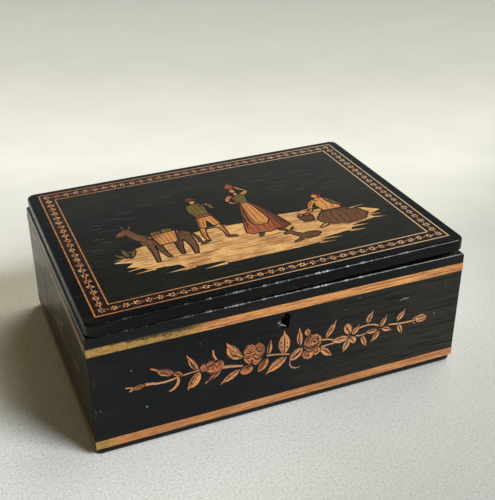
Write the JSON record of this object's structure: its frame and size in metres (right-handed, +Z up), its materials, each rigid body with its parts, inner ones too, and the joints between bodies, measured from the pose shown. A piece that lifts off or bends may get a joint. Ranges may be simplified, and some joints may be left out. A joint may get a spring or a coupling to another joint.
{
  "type": "stationery box",
  "caption": "Low rectangular ebonised box with a hinged lid, light-wood bands, an inlaid rose garland, an inlaid lid picture and a sliding-bolt lock.",
  "frame": {"origin": "on the table under the middle of the case", "axes": "+X to the box's right along its length, +Y to the hinged back, +Z up"},
  "size_m": [0.2604, 0.1906, 0.1005],
  "materials": {
    "ebonised_wood": "black-stained and French polished, worn",
    "ebonised_veneer": "black-stained veneer, polished",
    "band_wood": "light orange-brown wood, polished",
    "stringing_wood": "thin light stringing",
    "banding_wood": "black banding with small light stars",
    "rose_wood": "light warm inlay, engraved",
    "leaf_wood": "mid-brown inlay, sand-shaded",
    "stem_wood": "brown inlay",
    "ground_wood": "pale streaked inlay",
    "pale_wood": "pale inlay, engraved",
    "red_wood": "red-stained inlay",
    "green_wood": "green-stained inlay",
    "brown_wood": "walnut inlay",
    "brass": "dull, aged",
    "steel": "dull, oiled"
  },
  "bodies": {
    "case": {"front_board": "ebonised_wood", "back_board": "ebonised_wood", "left_board": "ebonised_wood", "right_board": "ebonised_wood", "base_board": "ebonised_wood", "front_veneer": "ebonised_veneer", "left_veneer": "ebonised_veneer", "right_veneer": "ebonised_veneer", "front_upper_band": "band_wood", "left_upper_band": "band_wood", "right_upper_band": "band_wood", "front_lower_band": "band_wood", "left_lower_band": "band_wood", "right_lower_band": "band_wood", "front_spray_stems": "stem_wood", "front_spray_leaves": "leaf_wood", "front_spray_roses": "rose_wood", "front_spray_blossoms": "rose_wood", "left_spray": "leaf_wood", "right_spray": "leaf_wood", "lock_plate": "brass", "lock_case": "steel", "lock_pin": "steel", "lock_spring": "steel", "hinge_case_leaves": "brass", "hinge_pins": "brass"},
    "lid": {"lid_board": "ebonised_wood", "lid_outer_stringing": "stringing_wood", "lid_inner_stringing": "stringing_wood", "lid_banding": "banding_wood", "lid_veneer": "ebonised_veneer", "picture_ground": "ground_wood", "picture_pale": "pale_wood", "picture_red": "red_wood", "picture_green": "green_wood", "picture_brown": "brown_wood", "hinge_lid_leaves": "brass", "link_plate": "brass"},
    "lock_bolt": {"lock_bolt": "steel"}
  },
  "joints": [
    {"name": "lid_hinge", "type": "hinge", "parent": "case", "child": "lid", "pos_m": [0.00001, 0.09235, 0.08872], "axis": [-0.9999, 0, -0.0136], "range_deg": [0, 98]},
    {"name": "bolt_slide", "type": "slide", "parent": "case", "child": "lock_bolt", "axis": [1, 0, 0], "range_m": [0, 0.005]}
  ]
}
